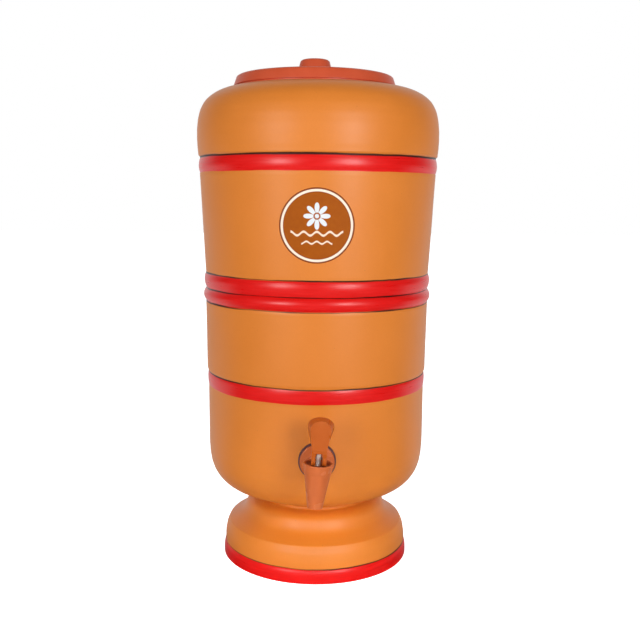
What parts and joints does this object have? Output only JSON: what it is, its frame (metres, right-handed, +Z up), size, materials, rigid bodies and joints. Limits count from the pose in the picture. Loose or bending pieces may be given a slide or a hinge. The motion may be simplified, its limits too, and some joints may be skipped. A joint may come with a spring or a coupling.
{
  "type": "clay water pot with tap",
  "caption": "Two-chamber clay water filter on a flared foot, with a lift-off lid, a filter candle, a float valve and a lever tap.",
  "frame": {"origin": "centre of the foot's underside, on the pot's axis, in the plane that the pot stands on", "axes": "+Z up; the tap points along -Y, so +X is to the right of somebody who faces the tap"},
  "size_m": [0.2408, 0.2789, 0.504],
  "materials": {
    "clay": "satin, painted bands in gloss red",
    "label": "printed, satin",
    "lid_plastic": "satin",
    "tap_plastic": "gloss",
    "lever_plastic": "gloss",
    "white_plastic": "satin",
    "dark_plastic": "satin",
    "float_plastic": "satin",
    "rubber": "matte",
    "silicone": "satin",
    "filter_ceramic": "matte",
    "carbon": "matte",
    "steel": "brushed"
  },
  "bodies": {
    "base": {"lower_chamber": "clay", "tap_body": "tap_plastic", "tap_outer_gasket": "rubber", "tap_inner_gasket": "rubber", "tap_back_nut": "white_plastic", "tap_bonnet": "dark_plastic", "tap_seal": "silicone"},
    "tap_stem": {"tap_stem": "white_plastic", "tap_lever_pin": "steel"},
    "tap_lever": {"tap_lever": "lever_plastic"},
    "upper_chamber": {"upper_chamber": "clay", "front_label": "label", "candle_dome": "filter_ceramic", "candle_carbon": "carbon", "candle_base": "white_plastic", "candle_upper_washer": "rubber", "candle_lower_washer": "rubber", "candle_nut": "white_plastic", "float_bracket": "white_plastic", "float_pin": "steel"},
    "float_arm": {"float_arm": "white_plastic", "float": "float_plastic", "float_pad": "silicone"},
    "lid": {"lid": "lid_plastic", "lid_knob": "lid_plastic"}
  },
  "joints": [
    {"name": "upper_chamber_lift", "type": "slide", "parent": "base", "child": "upper_chamber", "axis": [0, 0, 1], "range_m": [0, 0.15]},
    {"name": "lid_lift", "type": "slide", "parent": "upper_chamber", "child": "lid", "axis": [0, 0, 1], "range_m": [0, 0.06]},
    {"name": "tap_stem_slide", "type": "slide", "parent": "base", "child": "tap_stem", "axis": [0.0698, 0, 0.9976], "range_m": [0, 0.00419], "deforming": ["tap_seal"]},
    {"name": "tap_lever_pull", "type": "hinge", "parent": "tap_stem", "child": "tap_lever", "pos_m": [0.00091, -0.145, 0.14097], "axis": [0.9976, 0, -0.0698], "range_deg": [0, 75], "stiffness_Nm_per_rad": 0.05, "springref_deg": -20.05},
    {"name": "float_swing", "type": "hinge", "parent": "upper_chamber", "child": "float_arm", "pos_m": [0, -0.013, 0.23], "axis": [1, 0, 0], "range_deg": [0, 90]}
  ],
  "couplings": [
    {"joint": "tap_lever_pull", "follows": "tap_stem_slide", "rad_per_m": 312.5}
  ]
}
